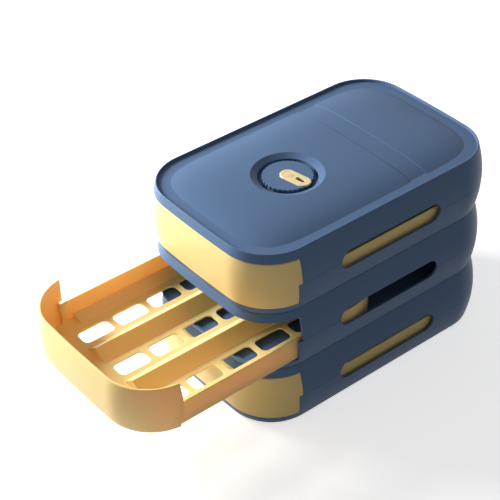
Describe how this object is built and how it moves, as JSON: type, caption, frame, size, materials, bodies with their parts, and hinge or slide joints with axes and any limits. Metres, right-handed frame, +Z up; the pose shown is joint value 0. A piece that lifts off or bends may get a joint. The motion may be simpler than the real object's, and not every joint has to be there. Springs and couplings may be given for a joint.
{
  "type": "stacking egg storage drawer box",
  "caption": "Stacking egg box with bulged rounded housings, pull-out egg trays, viewing slots in the sides and a turning day dial in each lid.",
  "frame": {"origin": "on the standing surface, under the middle of the front foot", "axes": "+X to the right seen from the drawers' side, +Y towards the back along the drawers, +Z up"},
  "size_m": [0.211, 0.4757, 0.222],
  "materials": {
    "cover_blue": "fine satin moulding, slate blue",
    "base_blue": "fine satin moulding, slate blue",
    "tray_yellow": "fine satin moulding, warm yellow",
    "disc_yellow": "satin, printed with plain numbers",
    "wheel_blue": "fine satin moulding, slate blue",
    "pointer_yellow": "satin moulding, pale yellow",
    "screw_blue": "satin moulding, slate blue"
  },
  "bodies": {
    "bottom_housing": {"bottom_cover": "cover_blue", "bottom_base": "base_blue", "bottom_number_disc": "disc_yellow"},
    "bottom_drawer": {"bottom_tray": "tray_yellow"},
    "bottom_dial": {"bottom_dial_wheel": "wheel_blue", "bottom_dial_pointer": "pointer_yellow", "bottom_dial_screw": "screw_blue"},
    "middle_housing": {"middle_cover": "cover_blue", "middle_base": "base_blue", "middle_number_disc": "disc_yellow"},
    "middle_drawer": {"middle_tray": "tray_yellow"},
    "middle_dial": {"middle_dial_wheel": "wheel_blue", "middle_dial_pointer": "pointer_yellow", "middle_dial_screw": "screw_blue"},
    "top_housing": {"top_cover": "cover_blue", "top_base": "base_blue", "top_number_disc": "disc_yellow"},
    "top_drawer": {"top_tray": "tray_yellow"},
    "top_dial": {"top_dial_wheel": "wheel_blue", "top_dial_pointer": "pointer_yellow", "top_dial_screw": "screw_blue"}
  },
  "joints": [
    {"name": "bottom_tray_slide", "type": "slide", "parent": "bottom_housing", "child": "bottom_drawer", "axis": [0, -1, 0], "range_m": [0, 0.2]},
    {"name": "bottom_dial_turn", "type": "hinge", "parent": "bottom_housing", "child": "bottom_dial", "pos_m": [0, 0.1133, 0.0749], "axis": [0, 0, 1], "continuous": true},
    {"name": "middle_tier_lift", "type": "slide", "parent": "bottom_housing", "child": "middle_housing", "axis": [0, 0, 1], "range_m": [0, 0.04]},
    {"name": "middle_tray_slide", "type": "slide", "parent": "middle_housing", "child": "middle_drawer", "axis": [0, -1, 0], "range_m": [-0.146, 0.054]},
    {"name": "middle_dial_turn", "type": "hinge", "parent": "middle_housing", "child": "middle_dial", "pos_m": [0, 0.1133, 0.1471], "axis": [0, 0, 1], "continuous": true},
    {"name": "top_tier_lift", "type": "slide", "parent": "middle_housing", "child": "top_housing", "axis": [0, 0, 1], "range_m": [0, 0.04]},
    {"name": "top_tray_slide", "type": "slide", "parent": "top_housing", "child": "top_drawer", "axis": [0, -1, 0], "range_m": [0, 0.2]},
    {"name": "top_dial_turn", "type": "hinge", "parent": "top_housing", "child": "top_dial", "pos_m": [0, 0.1133, 0.2193], "axis": [0, 0, 1], "continuous": true}
  ]
}
